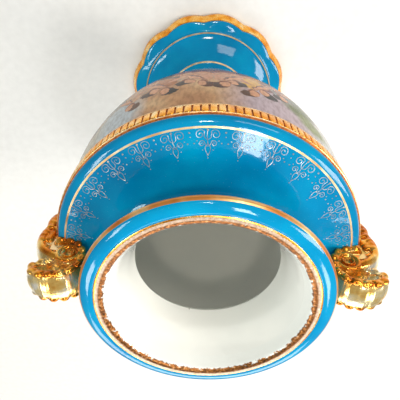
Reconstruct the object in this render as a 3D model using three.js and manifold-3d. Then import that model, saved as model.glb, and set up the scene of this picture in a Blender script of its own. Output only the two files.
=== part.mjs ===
// Mantel urn: a turquoise-glazed porcelain vase with two gilt scroll handles, bolted down on a
// separately cast foot with a twelve-lobed edge. Both pieces are hollow castings.
// Millimetres, +Z up. The origin is the centre of the foot's underside; the handles lie along X.
import * as THREE from 'three';
import { mergeVertices } from 'three/addons/utils/BufferGeometryUtils.js';
import Module from 'manifold-3d';

const wasm = await Module();
wasm.setup();

// Driving dimensions of the vase.
const HEIGHT = 335.5;          // foot's underside to the top of the lip
const JOINT_Z = 50;            // top of the foot
const JOINT_GAP = 0.3;         // the pieces stay this far apart
const JOINT_R = 25;            // radius of the two beads that meet at the joint
const BELLY_R = 98.7;          // widest part of the belly
const WALL = 5;                // thickness of the casting
const BAND_R = 99.3;           // raised gilt band round the shoulder's edge
const BAND_LOW = 274.6;
const BAND_HIGH = 286.3;
const SHOULDER_R = 93.3;       // the flat shoulder starts here
const SHOULDER_Z = 291.1;
const NECK_R = 53;             // waist of the short neck, outside
const THROAT_R = 47.2;         // narrowest part of the throat, inside
const THROAT_Z = 295.8;
const RIM_R = 75;              // outer edge of the flared rim
const RIM_Z = 331.5;
const LIP_OUTER_R = 64.5;      // the flat top of the lip
const LIP_INNER_R = 61.5;
const MOUTH_R = 59.5;

// Driving dimensions of the foot.
const LOBES = 12;
const LOBE_DEPTH = 3.1;        // how far a lobe stands out past the notches beside it
const FOOT_TURN = THREE.MathUtils.degToRad(5);  // the foot is bolted on a little off the handles
const EDGE_R = 85;             // the foot's edge at a notch
const RING_R = 70.9;           // gilt ridge round the foot
const COLLAR_R = 44.5;         // smaller gilt ridge below the stem
const STEM_R = 21.5;

// Driving dimensions of the handles. Each is a leaf-edged strap bent into scrolls.
const STRAP_HALF_WIDTH = 11.2;
const STRAP_THICKNESS = 4.4;
const EDGE_THICKNESS = 3;
const LOBE_PITCH = 4.25;       // spacing of the leaf lobes along a strap
const LOBE_RISE = 0.9;
const STEPS_PER_LOBE = 2;
const KNOB_R = 6.3;            // rolled end of the lower scroll
const KNOB_X = 87;
const KNOB_Z = 303.5;
const BRACKET_HALF_WIDTH = 8;

const VASE_SEGMENTS = 48;
const FOOT_SEGMENTS = LOBES * 4;

const turquoise = new THREE.MeshStandardMaterial({ color: '#0f93b8', roughness: 0.12 });

// A smooth stretch of outline through a few points, as steps + 1 points.
function smooth(points, steps) {
  const curve = new THREE.SplineCurve(points.map(([r, z]) => new THREE.Vector2(r, z)));
  return curve.getPoints(steps).map((p) => [Math.max(p.x, 0), p.y]);
}

// A closed solid turned round Z from an outline that starts and ends on the axis.
function turned(outline, segments) {
  const points = outline.map(([r, z]) => new THREE.Vector2(r, z));
  return new THREE.LatheGeometry(points, segments).rotateX(Math.PI / 2);
}

function toManifold(geometry) {
  const bare = geometry.clone();
  bare.deleteAttribute('normal');
  bare.deleteAttribute('uv');
  const merged = mergeVertices(bare, 1e-4);
  return new wasm.Manifold(new wasm.Mesh({
    numProp: 3,
    vertProperties: new Float32Array(merged.attributes.position.array),
    triVerts: new Uint32Array(merged.index.array),
  }));
}

function toGeometry(manifold) {
  const mesh = manifold.getMesh();
  const geometry = new THREE.BufferGeometry();
  geometry.setAttribute('position', new THREE.BufferAttribute(mesh.vertProperties, 3));
  geometry.setIndex(new THREE.BufferAttribute(mesh.triVerts, 1));
  geometry.computeVertexNormals();
  return geometry;
}

// The vase: belly, raised band, shoulder, neck and flared rim outside; throat and belly inside.
function vaseBody() {
  const belly = [
    [JOINT_R + 1, 55], [34, 62], [53.8, 85.7], [68.9, 123.5], [80, 161.3],
    [92.7, 199.1], [BELLY_R, 236.8], [97.9, BAND_LOW],
  ];
  const shoulder = [
    [SHOULDER_R, SHOULDER_Z], [78, 293.4], [63, 295.6], [NECK_R + 1, 300],
    [NECK_R, 305.5], [57.5, 316.5], [66, 325.6], [RIM_R - 1, RIM_Z - 2.5],
  ];
  const throat = [[MOUTH_R, 333], [54.5, 322], [49.8, 309], [THROAT_R, THROAT_Z]];
  const underShoulder = [[THROAT_R, THROAT_Z], [51.5, 291], [62, 289.8], [78, 288], [89, 284]];
  const insideBelly = belly.slice(2).reverse().map(([r, z]) => [r - WALL, z]);
  const inside = [...underShoulder, ...insideBelly, [24, 64]];
  return turned([
    [0, JOINT_Z + JOINT_GAP],
    [JOINT_R, JOINT_Z + JOINT_GAP],
    ...smooth(belly, 10),
    [BAND_R, BAND_LOW],
    [BAND_R, BAND_HIGH],
    [97.8, 288],
    ...smooth(shoulder, 11),
    [RIM_R, RIM_Z],
    [LIP_OUTER_R, HEIGHT],
    [LIP_INNER_R, HEIGHT],
    ...smooth(throat, 4).slice(0, -1),
    ...smooth(inside, 12),
    [0, 61],
  ], VASE_SEGMENTS);
}

// A strap bent along a curve in the XZ plane. Its outer face is on the left of the curve's run,
// crowned along the middle. Its two edges swell out into leaf lobes, and over the last part of
// the run it narrows to tipWidth times its full width.
function strap(points, tipWidth) {
  const curve = new THREE.CatmullRomCurve3(points.map(([x, z]) => new THREE.Vector3(x, 0, z)));
  const lobes = Math.round(curve.getLength() / LOBE_PITCH);
  const geometry = new THREE.BoxGeometry(2, 2, 1, 2, 1, lobes * STEPS_PER_LOBE);
  const position = geometry.attributes.position;
  for (let i = 0; i < position.count; i++) {
    const across = position.getX(i);
    const outward = position.getY(i);
    const along = THREE.MathUtils.clamp(position.getZ(i) + 0.5, 0, 1);
    const centre = curve.getPointAt(along);
    const run = curve.getTangentAt(along);
    const swell = Math.abs(Math.sin(Math.PI * along * lobes));
    const taper = THREE.MathUtils.lerp(1, tipWidth, THREE.MathUtils.smoothstep(along, 0.6, 1));
    const halfWidth = (STRAP_HALF_WIDTH - LOBE_RISE * (1 - swell)) * taper;
    const crown = outward > 0 && across !== 0 ? EDGE_THICKNESS / STRAP_THICKNESS : 1;
    const offset = outward * crown * STRAP_THICKNESS / 2;
    position.setXYZ(i, centre.x - run.z * offset, across * halfWidth, centre.z + run.x * offset);
  }
  return geometry;
}

// One handle, on the +X side: an upper scroll that springs from the shoulder and curls over
// outwards, a lower scroll that rolls up inside it to a knob, and the leaf that runs down from
// the lower scroll on to the belly.
function handle() {
  const upper = [
    [98, 292.4], [90, 292.4], [82, 296.6], [78, 305], [79.2, 313.8], [85.3, 320.2],
    [94.5, 322.4], [102, 321.2], [106.6, 317.2], [106.8, 312.4], [103.2, 309], [99.5, 308.4],
  ];
  const lower = [
    [KNOB_X, KNOB_Z + 4], [94.5, 306.4], [101, 303], [105.8, 298.4], [108.8, 292],
    [109.2, 285], [107.2, 277.5], [107.6, 270.5], [104.8, 260], [100.6, 250], [95, 242],
  ];
  const knob = new THREE.CylinderGeometry(KNOB_R, KNOB_R, 2 * STRAP_HALF_WIDTH + 1, 16);
  knob.translate(KNOB_X, 0, KNOB_Z);
  const core = lower.slice(1).concat([[92, 242], [92, 286], [84, 292], [KNOB_X - 2, KNOB_Z]]);
  const bracket = new THREE.ExtrudeGeometry(
    new THREE.Shape(core.map(([x, z]) => new THREE.Vector2(x, z))),
    { depth: 2 * BRACKET_HALF_WIDTH, bevelEnabled: false },
  );
  bracket.translate(0, 0, -BRACKET_HALF_WIDTH).rotateX(Math.PI / 2);
  return [strap(upper, 0.9), strap(lower, 0.4), knob, bracket]
    .map(toManifold)
    .reduce((whole, piece) => whole.add(piece));
}

// The handles are luted to the clay vase and fired with it, so they are one piece with it.
function vase() {
  const right = handle();
  const left = right.rotate([0, 0, 180]);
  return toGeometry(toManifold(vaseBody()).add(right).add(left));
}

// The foot: a hollow casting. Its lobes are full at the edge and fade out at the gilt ring.
function foot() {
  const geometry = turned([
    [0, 43],
    [14, 41],
    [24, 34],
    [42, 24],
    [58, 12.5],
    [70, 8.5],
    [74, 0],
    [EDGE_R - 0.8, 0],
    [EDGE_R, 1.5],
    [EDGE_R - 0.8, 6],
    [EDGE_R - 3, 11.5],
    [EDGE_R - 5, 13.2],
    [RING_R + 1.5, 15],
    [RING_R, 17],
    [RING_R - 1.8, 15.2],
    ...smooth([[62, 17.8], [52, 23.5], [COLLAR_R + 1.5, 29]], 3),
    [COLLAR_R, 31],
    [COLLAR_R - 1.5, 30.8],
    ...smooth([[34, 35.4], [25, 40.6], [STEM_R, 45.5], [JOINT_R - 2, 48.3]], 5),
    [JOINT_R, JOINT_Z],
    [0, JOINT_Z],
  ], FOOT_SEGMENTS);
  const position = geometry.attributes.position;
  for (let i = 0; i < position.count; i++) {
    const x = position.getX(i);
    const y = position.getY(i);
    const r = Math.hypot(x, y);
    const full = THREE.MathUtils.clamp((r - RING_R - 4) / (EDGE_R - RING_R - 10), 0, 1);
    const lobe = Math.abs(Math.sin(Math.atan2(y, x) * LOBES / 2));
    const out = r > 0 ? 1 + LOBE_DEPTH * lobe * full / r : 1;
    position.setXY(i, x * out, y * out);
  }
  return toGeometry(toManifold(geometry.rotateZ(FOOT_TURN)));
}

const urn = new THREE.Group();

const vaseMesh = new THREE.Mesh(vase(), turquoise);
vaseMesh.name = 'vase';
urn.add(vaseMesh);

const footMesh = new THREE.Mesh(foot(), turquoise.clone());
footMesh.name = 'foot';
urn.add(footMesh);

export default urn;
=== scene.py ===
import math
import random

import bpy
import numpy as np
from mathutils import Euler, Matrix, Vector


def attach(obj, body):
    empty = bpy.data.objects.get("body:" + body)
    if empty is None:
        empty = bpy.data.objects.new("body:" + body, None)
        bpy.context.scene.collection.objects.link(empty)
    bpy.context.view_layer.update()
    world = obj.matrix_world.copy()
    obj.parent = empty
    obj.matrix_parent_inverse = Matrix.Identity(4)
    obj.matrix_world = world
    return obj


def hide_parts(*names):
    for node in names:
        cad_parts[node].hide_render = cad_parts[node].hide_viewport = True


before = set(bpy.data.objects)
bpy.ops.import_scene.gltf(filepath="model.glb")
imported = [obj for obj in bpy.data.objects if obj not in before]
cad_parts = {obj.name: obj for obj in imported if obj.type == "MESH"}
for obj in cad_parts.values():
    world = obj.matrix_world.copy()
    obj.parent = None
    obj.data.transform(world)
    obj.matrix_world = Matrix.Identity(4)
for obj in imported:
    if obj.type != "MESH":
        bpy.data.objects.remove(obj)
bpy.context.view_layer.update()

MM = 0.001

# ---------------------------------------------------------------------------------------------
# The view: the camera stands close in front of the urn, above it, and is held the other way up,
# so that it looks down into the mouth and the foot lies at the far end.
# ---------------------------------------------------------------------------------------------
camera_data = bpy.data.cameras.new("view_camera")
camera_data.lens = 40.5
camera_data.sensor_width = 36
camera = bpy.data.objects.new("view_camera", camera_data)
camera.location = (0.0066, -0.1988, 0.5133)
camera.rotation_euler = Euler([math.radians(a) for a in (-34.79, 0.88, -178.57)])
bpy.context.scene.collection.objects.link(camera)
bpy.context.scene.camera = camera
bpy.context.scene.view_settings.view_transform = "Standard"


# ---------------------------------------------------------------------------------------------
# The studio: a plain pale floor, a large softbox at the right, two small ones at the left, a strip
# and a small box over the mouth, one at the front, three behind, and a dim even surround.
# ---------------------------------------------------------------------------------------------
def linear(colour):
    """An sRGB hex colour, such as "e0a040", as linear red, green, blue and alpha."""
    parts = [int(colour[i:i + 2], 16) / 255 for i in (0, 2, 4)]
    return [c / 12.92 if c <= 0.04045 else ((c + 0.055) / 1.055) ** 2.4 for c in parts] + [1.0]


def add_node(tree, kind, inputs=None, stops=None, **settings):
    """Adds a shader node, sets it, and gives its inputs values or links from other nodes' outputs."""
    node = tree.nodes.new("ShaderNode" + kind)
    for name, value in settings.items():
        setattr(node, name, value)
    if stops:
        ramp = node.color_ramp.elements
        while len(ramp) < len(stops):
            ramp.new(0.5)
        for element, (place, colour) in zip(ramp, stops):
            element.position = place
            element.color = linear(colour)
    for socket, value in (inputs or {}).items():
        if isinstance(value, bpy.types.NodeSocket):
            tree.links.new(value, node.inputs[socket])
        else:
            node.inputs[socket].default_value = value
    return node


def new_material(name):
    """A material with an empty node tree, and its tree."""
    material = bpy.data.materials.new(name)
    material.use_nodes = True
    material.node_tree.nodes.clear()
    return material, material.node_tree


def finish_material(tree, bump=None, **inputs):
    """Adds the surface shader, with inputs named as on its sockets, and the output."""
    named = {name.replace("_", " "): value for name, value in inputs.items()}
    if bump is not None:
        named["Normal"] = bump.outputs["Normal"]
    shader = add_node(tree, "BsdfPrincipled", named)
    add_node(tree, "OutputMaterial", {"Surface": shader.outputs["BSDF"]})


def soft_light(name, place, target, size, power, colour):
    """A rectangular softbox that faces the target."""
    data = bpy.data.lights.new(name, "AREA")
    data.shape = "RECTANGLE"
    data.size, data.size_y = size
    data.energy = power
    data.color = linear(colour)[:3]
    light = bpy.data.objects.new(name, data)
    light.location = place
    light.rotation_euler = (Vector(target) - Vector(place)).to_track_quat("-Z", "Y").to_euler()
    bpy.context.scene.collection.objects.link(light)


soft_light("right_softbox", (-0.80, 0.00, 0.86), (-0.03, 0, 0.25), (0.26, 0.50), 6.5, "fff8f0")
soft_light("left_softbox_upper", (0.52, -0.08, 0.82), (0, 0, 0.3), (0.14, 0.09), 0.7, "f4fff8")
soft_light("left_softbox_lower", (0.48, 0.05, 0.86), (0, 0, 0.3), (0.14, 0.09), 0.7, "f4fff8")
soft_light("overhead_strip", (-0.22, 0.01, 1.28), (-0.05, 0, 0.3), (0.30, 0.12), 3.0, "f6fbff")
soft_light("front_softbox", (-0.34, -0.64, 0.72), (0, 0, 0.15), (0.34, 0.20), 1.6, "fff6ea")
soft_light("back_softbox", (0.1, 1.50, 0.90), (0, 0, 0.2), (1.6, 0.5), 14.0, "fffaf4")
soft_light("back_left_softbox", (0.66, 0.74, 1.14), (0.1, 0, 0.32), (0.30, 0.22), 2.6, "fffcf4")
soft_light("back_right_softbox", (-0.66, 0.74, 1.14), (-0.1, 0, 0.32), (0.30, 0.22), 2.6, "fffcf4")
soft_light("mouth_softbox", (0.02, -0.50, 1.20), (0, 0.03, 0.25), (0.10, 0.10), 1.8, "fff6e6")

world = bpy.data.worlds.new("studio_surround")
world.use_nodes = True
world.node_tree.nodes["Background"].inputs["Color"].default_value = linear("dfe3e8")
world.node_tree.nodes["Background"].inputs["Strength"].default_value = 0.3
bpy.context.scene.world = world

bpy.ops.object.select_all(action="DESELECT")
bpy.ops.mesh.primitive_plane_add(size=8)
floor = bpy.context.object
floor.name = "floor"
floor_paper, tree = new_material("matt_background_paper")
grain = add_node(tree, "TexNoise", {"Scale": 900.0, "Detail": 3.0})
tone = add_node(tree, "ValToRGB", {"Fac": grain.outputs["Fac"]}, [(0.3, "eae9e6"), (0.7, "f0efec")])
finish_material(tree, Base_Color=tone.outputs["Color"], Roughness=0.9)
floor.data.materials.append(floor_paper)


# ---------------------------------------------------------------------------------------------
# The vase: a hollow porcelain casting with a belly, a raised band round the shoulder's edge, a
# nearly flat shoulder, a short neck and a flared rim. It is glazed all over, has a turquoise
# ground fired on outside, a painted scene round the belly, and gilt lines at each edge.
# ---------------------------------------------------------------------------------------------
def through(points, steps):
    """A smooth line through the points, as steps + 1 points, evenly spread over the gaps."""
    ends = [points[0]] + list(points) + [points[-1]]
    line = []
    for i in range(steps + 1):
        whole = i * (len(points) - 1) / steps
        k = min(int(whole), len(points) - 2)
        t = whole - k
        a, b, c, d = (Vector(p) for p in ends[k:k + 4])
        line.append(tuple(0.5 * (2 * b + (c - a) * t + (2 * a - 5 * b + 4 * c - d) * t ** 2
                                 + (3 * b - a - 3 * c + d) * t ** 3)))
    return line


def drawn_line(name, points):
    """An object whose mesh is one line of edges, drawn point by point by extruding a vertex."""
    bpy.ops.object.select_all(action="DESELECT")
    bpy.ops.mesh.primitive_plane_add(size=MM)
    piece = bpy.context.object
    piece.name = name
    bpy.ops.object.mode_set(mode="EDIT")
    bpy.ops.mesh.select_mode(type="VERT")
    bpy.ops.mesh.merge(type="CENTER")
    bpy.ops.transform.translate(value=points[0])
    for before, after in zip(points, points[1:]):
        step = Vector(after) - Vector(before)
        bpy.ops.mesh.extrude_region_move(TRANSFORM_OT_translate={"value": step})
    bpy.ops.object.mode_set(mode="OBJECT")
    return piece


def turned(name, zones, steps):
    """A closed piece turned round Z from zones of (finish, outline in mm), each going on from
    the last one's end. Returns the piece and its list of finishes in order of first use."""
    outline = []
    finishes = []
    middles = []
    for finish, points in zones:
        if finish not in finishes:
            finishes.append(finish)
        for point in points:
            if outline and (Vector(point) - Vector(outline[-1])).length < 0.01:
                continue
            if outline:
                middles.append([(point[0] + outline[-1][0]) / 2, (point[1] + outline[-1][1]) / 2,
                                finishes.index(finish)])
            outline.append(point)
    piece = drawn_line(name, [(r * MM, 0, z * MM) for r, z in outline])
    bpy.ops.object.mode_set(mode="EDIT")
    bpy.ops.mesh.select_all(action="SELECT")
    bpy.ops.mesh.spin(steps=steps, angle=2 * math.pi, center=(0, 0, 0), axis=(0, 0, 1))
    bpy.ops.mesh.select_all(action="SELECT")
    bpy.ops.mesh.remove_doubles(threshold=0.01 * MM)
    bpy.ops.mesh.normals_make_consistent(inside=False)
    bpy.ops.object.mode_set(mode="OBJECT")
    middles = np.array(middles)
    for face in piece.data.polygons:
        spot = np.array([math.hypot(face.center.x, face.center.y), face.center.z]) / MM
        gaps = np.linalg.norm(middles[:, :2] - spot, axis=1)
        face.material_index = int(middles[gaps.argmin(), 2])
    return piece, finishes


def smoothed(piece, degrees):
    """Shades the piece smooth, and sharp only over edges that turn more than so many degrees."""
    bpy.ops.object.select_all(action="DESELECT")
    piece.select_set(True)
    bpy.context.view_layer.objects.active = piece
    bpy.ops.object.shade_smooth_by_angle(angle=math.radians(degrees))


# Turquoise enamel ground under a clear lead glaze: deep, wet-looking and slightly cloudy, with a
# faint ripple in what it reflects. Clouds of about 30 mm, ripple of about 9 mm.
turquoise_glaze, tree = new_material("turquoise_ground_under_glaze")
place = add_node(tree, "TexCoord").outputs["Object"]
clouds = add_node(tree, "TexNoise", {"Vector": place, "Scale": 33.0, "Detail": 4.0})
ground = add_node(tree, "ValToRGB", {"Fac": clouds.outputs["Fac"]},
                  [(0.3, "007cae"), (0.55, "008cbc"), (0.75, "009bc6")])
specks = add_node(tree, "TexNoise", {"Vector": place, "Scale": 1400.0, "Detail": 2.0})
speckled = add_node(tree, "MapRange", {"Value": specks.outputs["Fac"], "From Min": 0.66,
                                       "From Max": 0.8, "To Max": 0.35})
colour = add_node(tree, "Mix", {"Factor": speckled.outputs["Result"], "A": ground.outputs["Color"],
                                "B": linear("7cc4d8")}, data_type="RGBA")
ripple = add_node(tree, "TexNoise", {"Vector": place, "Scale": 110.0, "Detail": 2.0})
bump = add_node(tree, "Bump", {"Height": ripple.outputs["Fac"], "Strength": 0.25, "Distance": 0.0004})
finish_material(tree, bump, Base_Color=colour.outputs["Result"], Roughness=0.07, IOR=1.5,
                Specular_IOR_Level=0.3)

# Burnished gilding, fired on over the glaze: a thin bright metal film, warmer and browner where
# it was laid thin or has rubbed, and with pale cream patches painted in as highlights. Patches of
# about 9 mm and fine burnishing marks.
gilding, tree = new_material("burnished_gilding")
place = add_node(tree, "TexCoord").outputs["Object"]
patches = add_node(tree, "TexNoise", {"Vector": place, "Scale": 110.0, "Detail": 3.0, "Roughness": 0.5})
# The two palest stops are painted highlights; the browner ones are thin or rubbed film.
gold = add_node(tree, "ValToRGB", {"Fac": patches.outputs["Fac"]},
                [(0.32, "e08818"), (0.46, "f7a834"), (0.58, "ffc466"), (0.68, "ffe2a8")])
marks = add_node(tree, "TexNoise", {"Vector": place, "Scale": 900.0, "Detail": 3.0})
rough = add_node(tree, "MapRange", {"Value": marks.outputs["Fac"], "From Min": 0.3, "From Max": 0.7,
                                    "To Min": 0.22, "To Max": 0.32})
bump = add_node(tree, "Bump", {"Height": patches.outputs["Fac"], "Strength": 0.1, "Distance": 0.0003})
finish_material(tree, bump, Base_Color=gold.outputs["Color"], Metallic=0.88,
                Roughness=rough.outputs["Result"])

# The sunk ground between the gilt blocks: the same gilding left unburnished, matt and brown.
sunk_gilding, tree = new_material("unburnished_gilding")
place = add_node(tree, "TexCoord").outputs["Object"]
film = add_node(tree, "TexNoise", {"Vector": place, "Scale": 500.0, "Detail": 3.0})
gold = add_node(tree, "ValToRGB", {"Fac": film.outputs["Fac"]}, [(0.35, "8a4410"), (0.65, "bf7226")])
finish_material(tree, Base_Color=gold.outputs["Color"], Metallic=0.5, Roughness=0.5)

# Gilt lines, laid with a brush: thin, half matt and pale where the film is thinnest, with slight
# thick and thin stretches about 8 mm long.
brushed_gilt_line, tree = new_material("brushed_gilt_line")
place = add_node(tree, "TexCoord").outputs["Object"]
film = add_node(tree, "TexNoise", {"Vector": place, "Scale": 120.0, "Detail": 4.0})
gold = add_node(tree, "ValToRGB", {"Fac": film.outputs["Fac"]},
                [(0.3, "d69c5c"), (0.5, "efcb94"), (0.7, "fbe8c2")])
finish_material(tree, Base_Color=gold.outputs["Color"], Metallic=0.55, Roughness=0.34)

# The band round the rim's edge, laid thicker: a soft orange gold, paler where it is rubbed.
rim_gilding, tree = new_material("rubbed_rim_gilding")
place = add_node(tree, "TexCoord").outputs["Object"]
film = add_node(tree, "TexNoise", {"Vector": place, "Scale": 45.0, "Detail": 4.0})
gold = add_node(tree, "ValToRGB", {"Fac": film.outputs["Fac"]},
                [(0.3, "c8702a"), (0.5, "ea9c50"), (0.68, "fbdca0")])
finish_material(tree, Base_Color=gold.outputs["Color"], Metallic=0.6, Roughness=0.3)

# White hard-paste porcelain under clear glaze: cool white, very smooth, with a few kiln specks of
# about half a millimetre.
white_porcelain, tree = new_material("glazed_white_porcelain")
place = add_node(tree, "TexCoord").outputs["Object"]
clouds = add_node(tree, "TexNoise", {"Vector": place, "Scale": 25.0, "Detail": 3.0})
white = add_node(tree, "ValToRGB", {"Fac": clouds.outputs["Fac"]}, [(0.3, "eceee9"), (0.7, "f2f2ec")])
specks = add_node(tree, "TexVoronoi", {"Vector": place, "Scale": 60.0})
speck = add_node(tree, "MapRange", {"Value": specks.outputs["Distance"], "From Min": 0.035,
                                    "From Max": 0.02})
colour = add_node(tree, "Mix", {"Factor": speck.outputs["Result"], "A": white.outputs["Color"],
                                "B": linear("8a7f72")}, data_type="RGBA")
finish_material(tree, Base_Color=colour.outputs["Result"], Roughness=0.14, IOR=1.5,
                Coat_Weight=0.6, Coat_Roughness=0.04)

# Gilding on the lip, worn by handling: the gold has gone brown and speckled, and down the throat
# it breaks off in a ragged edge, with white chips of one or two millimetres.
worn_gilding, tree = new_material("worn_lip_gilding")
place = add_node(tree, "TexCoord").outputs["Object"]
speckle = add_node(tree, "TexNoise", {"Vector": place, "Scale": 620.0, "Detail": 5.0, "Roughness": 0.7})
brown = add_node(tree, "ValToRGB", {"Fac": speckle.outputs["Fac"]},
                 [(0.32, "33241a"), (0.45, "70451f"), (0.55, "a8662c"), (0.68, "dcae78")])
bright = add_node(tree, "ValToRGB", {"Fac": speckle.outputs["Fac"]},
                  [(0.3, "c08a62"), (0.45, "e2bfa0"), (0.6, "f0dcc8"), (0.75, "faf0e2")])
across_lip = add_node(tree, "Mapping", {"Vector": place, "Scale": (1.0, 1.0, 0.0)})
from_axis = add_node(tree, "VectorMath", {0: across_lip.outputs["Vector"]}, operation="LENGTH")
outer = add_node(tree, "MapRange", {"Value": from_axis.outputs["Value"], "From Min": 0.0628,
                                    "From Max": 0.0636})
gold = add_node(tree, "Mix", {"Factor": outer.outputs["Result"], "A": brown.outputs["Color"],
                              "B": bright.outputs["Color"]}, data_type="RGBA")
ragged = add_node(tree, "TexNoise", {"Vector": place, "Scale": 340.0, "Detail": 4.0, "Roughness": 0.65})
height = add_node(tree, "SeparateXYZ", {"Vector": place}).outputs["Z"]
below = add_node(tree, "MapRange", {"Value": height, "From Min": 0.3300, "From Max": 0.3352,
                                    "To Min": 1.0, "To Max": 0.0})
lost = add_node(tree, "Math", {0: below.outputs["Result"], 1: ragged.outputs["Fac"]}, operation="ADD")
bare = add_node(tree, "MapRange", {"Value": lost.outputs["Value"], "From Min": 0.66, "From Max": 0.74})
colour = add_node(tree, "Mix", {"Factor": bare.outputs["Result"], "A": gold.outputs["Result"],
                                "B": linear("eceee9")}, data_type="RGBA")
metal = add_node(tree, "MapRange", {"Value": bare.outputs["Result"], "To Min": 0.85, "To Max": 0.0})
rough = add_node(tree, "MapRange", {"Value": bare.outputs["Result"], "To Min": 0.38, "To Max": 0.12})
bump = add_node(tree, "Bump", {"Height": speckle.outputs["Fac"], "Strength": 0.4, "Distance": 0.0003})
finish_material(tree, bump, Base_Color=colour.outputs["Result"], Metallic=metal.outputs["Result"],
                Roughness=rough.outputs["Result"])

# The painted zone: enamel colours brushed over the white glaze and fired again, so they lie soft
# under a thin gloss. An evening sky, distant hills, trees and, in front, a company of small seated
# figures in coloured robes; behind there is only landscape. Brush marks are 2 to 10 mm long.
BELLY_R = 98.7


def dab(painting, colour, at, size, tilt=0.0, soft=0.15):
    """Lays one brushed oval of colour on the painting, centred at (mm round, mm up)."""
    tree = painting["tree"]
    spot = add_node(tree, "Mapping", {"Vector": painting["at"], "Location": (*at, 0),
                                      "Rotation": (0, 0, math.radians(tilt)),
                                      "Scale": (*size, 1000)}, vector_type="TEXTURE")
    far = add_node(tree, "VectorMath", {0: spot.outputs["Vector"]}, operation="LENGTH")
    cover = add_node(tree, "MapRange", {"Value": far.outputs["Value"], "From Min": 1.0 + soft,
                                        "From Max": 1.0 - soft})
    mixed = add_node(tree, "Mix", {"Factor": cover.outputs["Result"], "A": painting["colour"],
                                   "B": linear(colour)}, data_type="RGBA")
    painting["colour"] = mixed.outputs["Result"]


def figure(painting, across, foot_at, robe, wrap, hair, lean):
    """A small seated figure, about 60 mm tall: skirt, wrap, arms, face and hair."""
    side = 1 if lean > 0 else -1
    for colour, right, up, size, tilt in (
            (robe, 0, 18, (12, 19), lean), (wrap, 2 * side, 40, (7, 14), lean),
            ("7a3f22", 7.5 * side, 44, (3.0, 10), 38 * side),
            ("e0a078", 8.5 * side, 44, (2.2, 9.5), 42 * side),
            ("d59067", -6 * side, 38, (2.4, 9), -52 * side),
            ("8a4a2a", 1.2 * side, 58.5, (4.2, 5.2), lean / 2),
            (hair, -1.8 * side, 62, (5.0, 4.6), lean), ("e2a47c", 1.8 * side, 59.5, (3.0, 4.4), lean / 2)):
        dab(painting, colour, (across + right, foot_at + up), size, tilt, soft=0.12)


def painted_finish(name, areas, trees, company):
    """A painting material, with (place, size, colour) areas, trees' places, and figures."""
    material, tree = new_material(name)
    place = add_node(tree, "TexCoord").outputs["Object"]
    parts = add_node(tree, "SeparateXYZ", {"Vector": place})
    forward = add_node(tree, "Math", {0: parts.outputs["Y"], 1: -1.0}, operation="MULTIPLY")
    turn = add_node(tree, "Math", {0: parts.outputs["X"], 1: forward.outputs["Value"]},
                    operation="ARCTAN2")
    around = add_node(tree, "Math", {0: turn.outputs["Value"], 1: BELLY_R}, operation="MULTIPLY")
    upward = add_node(tree, "Math", {0: parts.outputs["Z"], 1: 1000.0}, operation="MULTIPLY")
    sheet = add_node(tree, "CombineXYZ", {"X": around.outputs["Value"], "Y": upward.outputs["Value"]})
    brush = add_node(tree, "TexNoise", {"Vector": place, "Scale": 190.0, "Detail": 3.0})
    wobble = add_node(tree, "VectorMath", {0: brush.outputs["Color"], 1: (0.5, 0.5, 0.5)},
                      operation="SUBTRACT")
    wobbled = add_node(tree, "VectorMath", {0: wobble.outputs["Vector"], 1: (6.0, 6.0, 0.0),
                                            2: sheet.outputs["Vector"]}, operation="MULTIPLY_ADD")
    strokes = add_node(tree, "TexNoise", {"Vector": place, "Scale": 45.0, "Detail": 2.0})
    sky = add_node(tree, "ValToRGB", {"Fac": strokes.outputs["Fac"]},
                   [(0.3, "bd8a60"), (0.5, "d2a070"), (0.7, "e0b888")])
    painting = {"tree": tree, "at": wobbled.outputs["Vector"], "colour": sky.outputs["Color"]}
    for at, size, colour in areas:
        dab(painting, colour, at, size, soft=0.3)
    dice = random.Random(7)
    for at in trees:
        for lift, leaf in ((0, "34421f"), (12, "4c5a2a"), (24, "66743a"), (34, "8b9660")):
            dab(painting, leaf, (at + dice.uniform(-8, 8), 220 + lift), (12, 9), soft=0.35)
    for across, foot_at, robe, wrap, hair, lean in company:
        figure(painting, across, foot_at, robe, wrap, hair, lean)
    folds_at = add_node(tree, "Mapping", {"Vector": sheet.outputs["Vector"],
                                          "Scale": (0.42, 0.16, 1.0), "Rotation": (0, 0, 0.3)})
    folds = add_node(tree, "TexNoise", {"Vector": folds_at.outputs["Vector"], "Scale": 1.0,
                                        "Detail": 4.0})
    shade = add_node(tree, "ValToRGB", {"Fac": folds.outputs["Fac"]}, [(0.35, "9a8878"), (0.6, "ffffff")])
    shaded = add_node(tree, "Mix", {"Factor": 0.4, "A": painting["colour"],
                                    "B": shade.outputs["Color"]},
                      data_type="RGBA", blend_type="MULTIPLY")
    finish_material(tree, Base_Color=shaded.outputs["Result"], Roughness=0.2, IOR=1.5,
                    Specular_IOR_Level=0.12)
    return material


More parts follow.
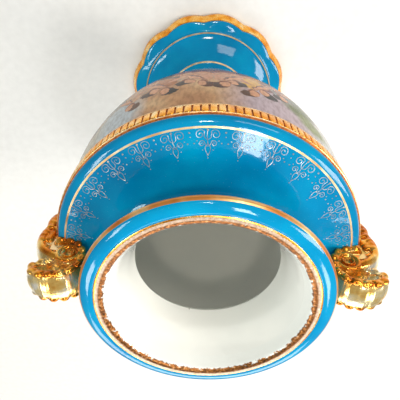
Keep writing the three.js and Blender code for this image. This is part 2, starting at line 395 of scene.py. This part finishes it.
# One finish each for the front's two halves and for the back. The ground below the figures is a
# bank of brown earth that runs all the way round.
bank = (((0, 186), (330, 22), "6a5432"), ((-30, 166), (340, 20), "473a22"))
left_painting = painted_finish(
    "enamel_painting_left",
    (((66, 258), (20, 26), "c9d3da"), ((110, 256), (30, 40), "c6bda6"),
     ((80, 220), (75, 14), "8d8778")) + bank,
    (132,),
    ((92, 180, "7d2f26", "c8973f", "3a2417", 14), (107, 176, "3d5878", "d8c09a", "4a2c1a", -10),
     (53, 190, "b98a5c", "d8a67c", "6a4020", 12), (40, 180, "a8562a", "d99a66", "4a2814", -18),
     (29, 186, "3a2412", "b86a26", "20120a", 20), (17, 176, "b8694a", "dba37c", "3c1d10", -10),
     (5, 181, "8c3f2c", "cf8e66", "5a2c18", 12)))
right_painting = painted_finish(
    "enamel_painting_right",
    (((-52, 258), (40, 60), "c6b4be"), ((-100, 262), (34, 40), "cfd2cf"),
     ((-60, 222), (60, 12), "7e8a86")) + bank,
    (-62, -136),
    ((-92, 178, "2c4a34", "a0502e", "371d0e", -15), (-106, 180, "7b4a5a", "d2b48c", "41281a", 12),
     (-46, 176, "3c1a1e", "8a4a3c", "2a140c", -8), (-35, 183, "561418", "7a2024", "1a0c08", 16),
     (-24, 189, "c88a22", "eab040", "5a3214", -14), (-15, 177, "7a3a24", "d8a078", "2c160c", 10),
     (-6, 182, "9a5236", "cf9068", "4a2514", -12)))
back_painting = painted_finish(
    "enamel_painting_back",
    (((250, 258), (60, 40), "c4b6bc"), ((-230, 262), (50, 40), "cfd2cf"),
     ((200, 224), (90, 16), "77827c"), ((-200, 222), (100, 15), "8a8f84")) + bank
    + (((280, 170), (80, 24), "5c6a62"), ((-280, 170), (80, 24), "5c6a62")),
    (168, 190, 262, -168, -196, -250), ())

WALL = 5.0
belly = [(26, 55), (34, 62), (53.8, 85.7), (68.9, 123.5), (80, 161.3), (92.7, 199.1),
         (98.7, 236.8), (97.9, 274.6)]
shoulder = [(93.3, 291.1), (78, 293.4), (63, 295.6), (54, 300), (53, 305.5), (57.5, 316.5),
            (66, 325.6), (74, 329)]
throat = [(59.5, 333), (54.5, 322), (49.8, 309), (47.2, 295.8)]
inside = ([(47.2, 295.8), (51.5, 291), (62, 289.8), (78, 288), (89, 284)]
          + [(r - WALL, z) for r, z in belly[:1:-1]] + [(24, 64)])


def cut(line, axis, value):
    """Splits a smooth line where its radius (axis 0) or height (axis 1) passes the value."""
    for k in range(len(line) - 1):
        low, high = sorted((line[k][axis], line[k + 1][axis]))
        if low <= value <= high and high > low:
            t = (value - line[k][axis]) / (line[k + 1][axis] - line[k][axis])
            split = tuple(a + (b - a) * t for a, b in zip(line[k], line[k + 1]))
            return line[:k + 1] + [split], [split] + line[k + 1:]


bowl, rest = cut(through(belly, 56), 1, 148.0)
bowl_line, rest = cut(rest, 1, 150.0)
picture, picture_line = cut(rest, 1, 273.0)
shoulder_line, rest = cut(through(shoulder, 56), 0, 92.1)
bowl_foot, bowl = cut(bowl, 1, 57.0)
throat_gilt, throat_white = cut(through(throat, 30), 1, 327.0)
vase, vase_finishes = turned("vase_body", [
    (gilding, [(0, 50.3), (25, 50.3)]),
    (gilding, bowl_foot),
    (turquoise_glaze, bowl),
    (brushed_gilt_line, bowl_line),
    (left_painting, picture),
    (brushed_gilt_line, picture_line),
    (brushed_gilt_line, [(98.0, 274.7), (99.2, 274.8), (99.5, 275.1), (99.5, 275.5), (99.2, 275.7)]),
    (sunk_gilding, [(99.2, 275.7), (98.7, 275.8), (98.7, 285.2), (99.2, 285.3)]),
    (brushed_gilt_line, [(99.2, 285.3), (99.5, 285.5), (99.5, 285.9), (99.2, 286.1)]),
    (sunk_gilding, [(99.2, 286.1), (98.2, 286.25), (98.0, 286.6)]),
    (brushed_gilt_line, [(98.0, 286.6), (98.3, 286.9), (98.3, 287.3)]),
    (turquoise_glaze, [(98.3, 287.3), (98.0, 288), (97.3, 289.4), (95.8, 290.5), (93.3, 291.1)]),
    (brushed_gilt_line, shoulder_line),
    (turquoise_glaze, rest),
    (rim_gilding, [(74, 329), (74.6, 329.6), (75, 330.6), (74.9, 331.6), (74.5, 332.4), (73.7, 333.1)]),
    (turquoise_glaze, through([(73.7, 333.1), (72.4, 334.0), (70.4, 334.75), (68.3, 335.1),
                               (67.2, 335.1), (66.6, 334.95), (66.0, 335.15)], 18)),
    (gilding, [(66.0, 335.15), (65.5, 335.45), (65.0, 335.5)]),
    (worn_gilding, [(65.0, 335.5), (63.1, 335.45), (61.5, 335.1), (60.3, 334.3), (59.5, 333)]),
    (worn_gilding, throat_gilt),
    (white_porcelain, throat_white),
    (white_porcelain, through(inside, 56)),
    (white_porcelain, [(12, 62), (0, 61)]),
], 240)
for finish in vase_finishes + [right_painting, back_painting]:
    vase.data.materials.append(finish)
for face in vase.data.polygons:
    if vase_finishes[face.material_index] == left_painting:
        if face.center.y > 0:
            face.material_index = len(vase_finishes) + 1
        elif face.center.x < 0:
            face.material_index = len(vase_finishes)
smoothed(vase, 40)
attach(vase, "root")
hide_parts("vase")


# ---------------------------------------------------------------------------------------------
# The blocks on the raised band: a row of small rounded upright billets moulded on the vase and
# gilded, a hundred and thirty round the shoulder's edge.
# ---------------------------------------------------------------------------------------------
def copied_round(piece, count, first_turn=0.0):
    """Copies the piece count times round Z, each with its own mesh, and joins the copies."""
    bpy.ops.object.select_all(action="DESELECT")
    for i in range(count):
        mesh = piece.data.copy()
        mesh.transform(Matrix.Rotation(first_turn + 2 * math.pi * i / count, 4, "Z"))
        if i == 0:
            first_mesh = mesh
            continue
        copy = bpy.data.objects.new(piece.name + "_copy", mesh)
        bpy.context.scene.collection.objects.link(copy)
        copy.select_set(True)
    piece.data = first_mesh
    piece.select_set(True)
    bpy.context.view_layer.objects.active = piece
    bpy.ops.object.join()
    return piece


def applied(piece, kind, **settings):
    """Adds a modifier with these settings and applies it."""
    bpy.ops.object.select_all(action="DESELECT")
    piece.select_set(True)
    bpy.context.view_layer.objects.active = piece
    modifier = piece.modifiers.new(kind.lower(), kind)
    for name, value in settings.items():
        setattr(modifier, name, value)
    bpy.ops.object.modifier_apply(modifier=modifier.name)
    return piece


BLOCKS = 130
BLOCK_WIDE = 3.8
BLOCK_DEEP = 1.7
BLOCK_TALL = 9.1
bpy.ops.object.select_all(action="DESELECT")
bpy.ops.mesh.primitive_cube_add(size=1, location=(0, -98.9 * MM, 280.5 * MM),
                                scale=(BLOCK_WIDE * MM, BLOCK_DEEP * MM, BLOCK_TALL * MM))
blocks = bpy.context.object
blocks.name = "band_blocks"
bpy.ops.object.transform_apply(location=True, rotation=True, scale=True)
applied(blocks, "BEVEL", width=0.45 * MM, segments=2)
copied_round(blocks, BLOCKS)
blocks.data.materials.append(gilding)
smoothed(blocks, 50)
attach(blocks, "root")


# ---------------------------------------------------------------------------------------------
# The scrollwork on the shoulder: twenty-eight small pendants of raised gilding, drawn with a
# fine brush inwards from the gilt line: paired spirals, a pointed drop, and dots.
# ---------------------------------------------------------------------------------------------
PENDANTS = 28
LINE_R = 91.9
STROKE_R = 0.22
FIRST_PENDANT = math.radians(1.9)
shoulder_run = [(r, z) for r, z in through(shoulder, 56) if z < 300]


def on_shoulder(across, inwards):
    """The place in metres of a point so many mm along the gilt line and inwards from it."""
    r = LINE_R - inwards
    for (r0, z0), (r1, z1) in zip(shoulder_run, shoulder_run[1:]):
        if r1 <= r <= r0:
            z = z0 + (z1 - z0) * (r0 - r) / (r0 - r1)
    angle = across / r
    return (r * math.sin(angle) * MM, -r * math.cos(angle) * MM, (z - 0.1) * MM)


def spiral(centre, size, start, turns):
    """Points of a spiral that winds in to its centre. Negative turns wind the other way."""
    line = []
    for i in range(21):
        t = i / 20
        angle = math.radians(start) + 2 * math.pi * turns * t
        reach = size * (1 - 0.82 * t)
        line.append((centre[0] + reach * math.cos(angle), centre[1] + reach * math.sin(angle)))
    return line


strokes_drawn = [through([(0, 0.2), (0.35, 4), (0, 8.4)], 6),
                 through([(0, 8.4), (1.5, 11.4), (0, 15.6)], 10),
                 through([(0, 8.4), (-1.5, 11.4), (0, 15.6)], 10)]
for side in (-1, 1):
    strokes_drawn += [
        [(side * a, b) for a, b in spiral((4.3, 3.3), 2.9, 215, 1.35)],
        [(side * a, b) for a, b in spiral((3.3, 8.6), 1.9, 230, 1.25)],
        [(side * a, b) for a, b in through([(0, 6.2), (1.3, 5.6), (2.0, 4.2), (1.9, 1.6)], 8)],
        [(side * a, b) for a, b in through([(0, 10), (1.2, 9.4), (2.1, 7.2)], 6)],
    ]
curve = bpy.data.curves.new("shoulder_scrollwork", "CURVE")
curve.dimensions = "3D"
curve.bevel_depth = STROKE_R * MM
curve.bevel_resolution = 1
for line in strokes_drawn:
    spline = curve.splines.new("POLY")
    spline.points.add(len(line) - 1)
    for point, (across, inwards) in zip(spline.points, line):
        point.co = (*on_shoulder(across, inwards), 1)
scrollwork = bpy.data.objects.new("shoulder_scrollwork", curve)
bpy.context.scene.collection.objects.link(scrollwork)
bpy.ops.object.select_all(action="DESELECT")
scrollwork.select_set(True)
bpy.context.view_layer.objects.active = scrollwork
bpy.ops.object.convert(target="MESH")
scrollwork = bpy.context.object
dots = [(0, 0.9, 0.8), (-7.6, 8.3, 0.6), (7.6, 8.3, 0.6), (-6.1, 6.9, 0.5), (6.1, 6.9, 0.5),
        (-9.9, 2.1, 0.7), (-9.9, 4.6, 0.5), (0, 17.0, 0.45), (-2.9, 12.3, 0.45), (2.9, 12.3, 0.45)]
for across, inwards, size in dots:
    bpy.ops.mesh.primitive_ico_sphere_add(subdivisions=1, radius=size * MM,
                                          location=on_shoulder(across, inwards), scale=(1, 1, 0.45))
    bpy.ops.object.transform_apply(location=True, rotation=True, scale=True)
    scrollwork.select_set(True)
    bpy.context.view_layer.objects.active = scrollwork
    bpy.ops.object.join()
copied_round(scrollwork, PENDANTS, FIRST_PENDANT)

# Pale gold, thin enough for the blue to cool it: a silvery lilac-gold line.
pale_gilding, tree = new_material("thin_pale_gilding")
place = add_node(tree, "TexCoord").outputs["Object"]
patches = add_node(tree, "TexNoise", {"Vector": place, "Scale": 300.0, "Detail": 3.0})
gold = add_node(tree, "ValToRGB", {"Fac": patches.outputs["Fac"]},
                [(0.35, "8f8c92"), (0.55, "bdb4ac"), (0.75, "e6dccb")])
finish_material(tree, Base_Color=gold.outputs["Color"], Metallic=0.6, Roughness=0.32)
scrollwork.data.materials.clear()
scrollwork.data.materials.append(pale_gilding)
smoothed(scrollwork, 60)
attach(scrollwork, "root")


# ---------------------------------------------------------------------------------------------
# The handles: press-moulded porcelain scrolls, luted to the vase and gilded all over. An upper
# leaf curls outwards over a lower scroll that rolls up to a knob, and a leaf runs down the belly.
# ---------------------------------------------------------------------------------------------
HALF_WIDTH = 11.2
UPPER_TIP = 0.62
LOWER_TIP = 0.4
PITCH = 4.25
BEAD_PITCH = 6.4
KNOB_R = 8.4
KNOB = (87.0, 303.8)
EYE_R = 6.0
EYE_DEPTH = 3.4
VOXEL = 0.5
SMOOTHINGS = 8
upper_line = through([(98, 292.4), (90, 292.4), (82, 296.6), (78, 305), (79.2, 313.8), (85.3, 320.2),
                      (94.5, 322.4), (102, 321.2), (106.6, 317.2), (106.8, 312.4), (103.2, 309),
                      (99.5, 308.4)], 66)
lower_line = through([(87, 307.5), (94.5, 306.4), (101, 303), (105.8, 298.4), (108.8, 292),
                      (109.2, 285), (107.2, 277.5), (107.6, 270.5), (104.8, 260), (100.6, 250),
                      (95, 242)], 60)


def stations(line, pitch):
    """Places at equal spacing along a line, as (share of length, point, direction of run)."""
    points = [Vector(p) for p in line]
    lengths = [0.0]
    for a, b in zip(points, points[1:]):
        lengths.append(lengths[-1] + (b - a).length)
    count = round(lengths[-1] / pitch)
    found = []
    for i in range(count):
        want = (i + 0.5) * lengths[-1] / count
        k = max(j for j in range(len(points) - 1) if lengths[j] <= want)
        run = (points[k + 1] - points[k]).normalized()
        found.append((want / lengths[-1], points[k] + run * (want - lengths[k]), run))
    return found


def narrowing(share, tip):
    """The strap's width at a share of its run: full, then easing down to tip times full."""
    t = min(max((share - 0.6) / 0.4, 0), 1)
    return 1 + (tip - 1) * t * t * (3 - 2 * t)


def strap(name, line, tip, half_width, thickness, offset=0.0):
    """A flat strap with the line for its middle, drawn out across it and given its thickness."""
    shifted = []
    for k, point in enumerate(line):
        run = (Vector(line[min(k + 1, len(line) - 1)]) - Vector(line[max(k - 1, 0)])).normalized()
        shifted.append((point[0] - run[1] * offset, point[1] + run[0] * offset))
    piece = drawn_line(name, [(x * MM, -half_width * MM, z * MM) for x, z in shifted])
    bpy.ops.object.mode_set(mode="EDIT")
    bpy.ops.mesh.select_all(action="SELECT")
    bpy.ops.mesh.extrude_region_move(TRANSFORM_OT_translate={"value": (0, 2 * half_width * MM, 0)})
    bpy.ops.object.mode_set(mode="OBJECT")
    where = np.array([[x, z] for x, z in shifted]) * MM
    for vertex in piece.data.vertices:
        gaps = np.linalg.norm(where - np.array([vertex.co.x, vertex.co.z]), axis=1)
        vertex.co.y *= narrowing(gaps.argmin() / (len(line) - 1), tip)
    return applied(piece, "SOLIDIFY", thickness=thickness * MM, offset=0)


def lump(name, at, size, tilt):
    """A rounded lump of clay at a place in mm: half sizes along the run, across and out."""
    bpy.ops.mesh.primitive_uv_sphere_add(segments=16, ring_count=10, radius=MM)
    piece = bpy.context.object
    piece.name = name
    shape = (Matrix.Translation(Vector(at) * MM) @ Matrix.Rotation(-tilt, 4, "Y")
             @ Matrix.Diagonal((*size, 1)))
    piece.data.transform(shape)
    return piece


def joined(name, pieces):
    """Joins pieces into one object."""
    bpy.ops.object.select_all(action="DESELECT")
    for piece in pieces:
        piece.select_set(True)
    bpy.context.view_layer.objects.active = pieces[0]
    bpy.ops.object.join()
    pieces[0].name = name
    return pieces[0]


clay = [strap("upper_core", upper_line, UPPER_TIP, HALF_WIDTH - 1.3, 3.0),
        strap("upper_lip", upper_line, UPPER_TIP, HALF_WIDTH - 0.4, 1.2, -1.9)]
for share, point, run in stations(upper_line, 1.4):
    width = HALF_WIDTH * narrowing(share, UPPER_TIP)
    out = Vector((-run.y, run.x))
    at = point + out * 0.8
    clay.append(lump("crown", (at.x, 0, at.y), (2.4, width - 0.9, 2.5), math.atan2(run.y, run.x)))
for share, point, run in stations(upper_line, PITCH):
    width = HALF_WIDTH * narrowing(share, UPPER_TIP)
    tilt = math.atan2(run.y, run.x)
    out = Vector((-run.y, run.x))
    top = point + out * 0.9
    clay.append(lump("rib", (top.x, 0, top.y), (1.7, width - 0.3, 2.55), tilt))
for share, point, run in stations(upper_line, BEAD_PITCH):
    width = HALF_WIDTH * narrowing(share, UPPER_TIP)
    edge = point + Vector((-run.y, run.x)) * 0.5
    for side in (-1, 1):
        clay.append(lump("bead", (edge.x, side * (width - 0.7), edge.y), (BEAD_PITCH * 0.47, 2.1, 2.2),
                         math.atan2(run.y, run.x)))
for share, point, run in stations(lower_line, 1.6):
    width = HALF_WIDTH * narrowing(share, LOWER_TIP)
    out = Vector((-run.y, run.x))
    deep = 4.8 - 2.2 * share
    at = point + out * (3.2 - 0.9 * share - deep)
    clay.append(lump("roll", (at.x, 0, at.y), (2.8, width, deep), math.atan2(run.y, run.x)))
for share, point, run in stations(lower_line, 2 * PITCH):
    width = HALF_WIDTH * narrowing(share, LOWER_TIP)
    out = Vector((-run.y, run.x))
    at = point - out * 2.3
    clay.append(lump("vein", (at.x, 0, at.y), (1.5, width + 0.1, 4.9), math.atan2(run.y, run.x)))
dice = random.Random(3)
for share, point, run in stations(lower_line, 4.6):
    if share < 0.34:
        continue
    width = HALF_WIDTH * narrowing(share, LOWER_TIP)
    out = Vector((-run.y, run.x))
    for side in (-1, 1):
        for inwards in (2.4, 6.6):
            at = point - out * (inwards + dice.uniform(-0.6, 0.6))
            clay.append(lump("leaf", (at.x, side * (width - 1.5 - inwards * 0.12), at.y),
                             (3.0, 2.2, 2.3), math.radians(dice.uniform(0, 180))))
clay.append(lump("knob", (KNOB[0], 0, KNOB[1]), (KNOB_R, HALF_WIDTH + 0.9, KNOB_R), 0))
for side in (-1, 1):
    for i in range(36):
        angle = math.radians(10 * i)
        clay.append(lump("eye_rim", (KNOB[0] + 6.6 * math.cos(angle), side * (HALF_WIDTH - 1.0),
                                     KNOB[1] + 6.6 * math.sin(angle)), (1.2, 1.3, 1.2), 0))
    for i in range(16):
        angle = math.radians(-30 + 16 * i)
        clay.append(lump("eye_ring", (KNOB[0] + 3.1 * math.cos(angle), side * (HALF_WIDTH + 0.7),
                                      KNOB[1] + 3.1 * math.sin(angle)), (1.0, 1.1, 1.0), 0))
core_line = lower_line[6:] + [(92, 242), (92, 286), (84, 292), (85, 303.5)]
core = drawn_line("bracket", [(x * MM, -8 * MM, z * MM) for x, z in core_line])
bpy.ops.object.mode_set(mode="EDIT")
bpy.ops.mesh.select_all(action="SELECT")
bpy.ops.mesh.edge_face_add()
bpy.ops.mesh.extrude_region_move(TRANSFORM_OT_translate={"value": (0, 16 * MM, 0)})
bpy.ops.mesh.select_all(action="SELECT")
bpy.ops.mesh.normals_make_consistent(inside=False)
bpy.ops.object.mode_set(mode="OBJECT")
clay.append(core)
handle = joined("handle_right", clay)
applied(handle, "REMESH", mode="VOXEL", voxel_size=VOXEL * MM)
applied(handle, "SMOOTH", factor=0.5, iterations=SMOOTHINGS)
for vertex in handle.data.vertices:
    away = math.hypot(vertex.co.x / MM - KNOB[0], vertex.co.z / MM - KNOB[1])
    if away < EYE_R and abs(vertex.co.y) > 7 * MM:
        sunk = EYE_DEPTH * MM * (1 + math.cos(math.pi * away / EYE_R)) / 2
        vertex.co.y -= math.copysign(sunk, vertex.co.y)

# The same burnished gilding on the moulded clay, with light and shade painted in: the broad faces
# are a pale cream gold with near-white patches as painted highlights, and the leaves and lobes along
# both edges are a deep orange as painted shade on the side faces.
relief_gilding_and_painted_light, tree = new_material("relief_gilding_with_painted_light")
place = add_node(tree, "TexCoord").outputs["Object"]
patches = add_node(tree, "TexNoise", {"Vector": place, "Scale": 90.0, "Detail": 3.0, "Roughness": 0.5})
# The pale ramp is the broad faces' painted light; its palest patches are painted highlights.
pale = add_node(tree, "ValToRGB", {"Fac": patches.outputs["Fac"]},
                [(0.32, "e0a040"), (0.45, "f6cc74"), (0.56, "fce6ac"), (0.66, "fff6e2")])
# The deep ramp is painted shade on the side faces and their leaves.
deep = add_node(tree, "ValToRGB", {"Fac": patches.outputs["Fac"]},
                [(0.32, "b85c10"), (0.46, "e08420"), (0.58, "f6ae40"), (0.7, "ffdc90")])
parts = add_node(tree, "SeparateXYZ", {"Vector": place})
from_middle = add_node(tree, "Math", {0: parts.outputs["Y"]}, operation="ABSOLUTE")
strayed = add_node(tree, "Math", {0: patches.outputs["Fac"], 1: 0.004, 2: from_middle.outputs["Value"]},
                   operation="MULTIPLY_ADD")
# Past about 10 mm from the middle, the side faces take the painted shade.
edge = add_node(tree, "MapRange", {"Value": strayed.outputs["Value"], "From Min": 0.0098,
                                   "From Max": 0.0112})
gold = add_node(tree, "Mix", {"Factor": edge.outputs["Result"], "A": pale.outputs["Color"],
                              "B": deep.outputs["Color"]}, data_type="RGBA")
bump = add_node(tree, "Bump", {"Height": patches.outputs["Fac"], "Strength": 0.12, "Distance": 0.0004})
finish_material(tree, bump, Base_Color=gold.outputs["Result"], Metallic=0.8, Roughness=0.2)
handle.data.materials.clear()
handle.data.materials.append(relief_gilding_and_painted_light)
smoothed(handle, 80)
other = handle.copy()
other.data = handle.data.copy()
other.name = "handle_left"
other.data.transform(Matrix.Rotation(math.pi, 4, "Z"))
bpy.context.scene.collection.objects.link(other)
for piece in (handle, other):
    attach(piece, "root")


# ---------------------------------------------------------------------------------------------
# The foot: a hollow porcelain casting with a twelve-lobed gilt edge, a turquoise brim, two thin
# gilt ridges and a short stem, bolted to the vase from below.
# ---------------------------------------------------------------------------------------------
LOBES = 12
LOBE_DEPTH = 3.1
FOOT_TURN = math.radians(5)
foot, foot_finishes = turned("foot_casting", [
    (white_porcelain, [(0, 43)] + through([(14, 41), (24, 34), (42, 24), (58, 12.5), (70, 8.5)], 20)),
    (white_porcelain, [(74, 0)]),
    (gilding, [(74, 0), (84.2, 0), (85, 1.5), (85.1, 3.6), (84.2, 6), (82.6, 9.2), (81.6, 11.7),
               (80.6, 12.9)]),
    (turquoise_glaze, through([(80.6, 12.9), (79, 13.5), (75, 14.4), (72.5, 15.0), (71.7, 15.9)], 10)),
    (brushed_gilt_line, [(71.7, 15.9), (71.3, 16.7), (70.8, 17), (70.4, 16.7)]),
    (turquoise_glaze, through([(70.4, 16.7), (69.4, 15.4), (62, 17.8), (52, 23.5), (46, 29)], 30)),
    (turquoise_glaze, [(46, 29), (45.4, 30.3)]),
    (brushed_gilt_line, [(45.4, 30.3), (44.9, 30.9), (44.3, 31.05), (43.9, 31)]),
    (turquoise_glaze, through([(43.9, 31), (34, 35.4), (25, 40.6), (21.5, 45.5), (23, 48.3)], 28)),
    (gilding, [(23, 48.3), (24.6, 48.9), (25, 49.6), (24.6, 50), (0, 50)]),
], 288)
for vertex in foot.data.vertices:
    r = math.hypot(vertex.co.x, vertex.co.y)
    if r > 0:
        full = min(max((r / MM - 74.9) / 4.1, 0), 1)
        lobe = abs(math.sin(math.atan2(vertex.co.y, vertex.co.x) * LOBES / 2))
        out = 1 + LOBE_DEPTH * MM * lobe * full / r
        vertex.co.x *= out
        vertex.co.y *= out
foot.data.transform(Matrix.Rotation(FOOT_TURN, 4, "Z"))
for finish in foot_finishes:
    foot.data.materials.append(finish)
smoothed(foot, 40)
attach(foot, "root")
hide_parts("foot")
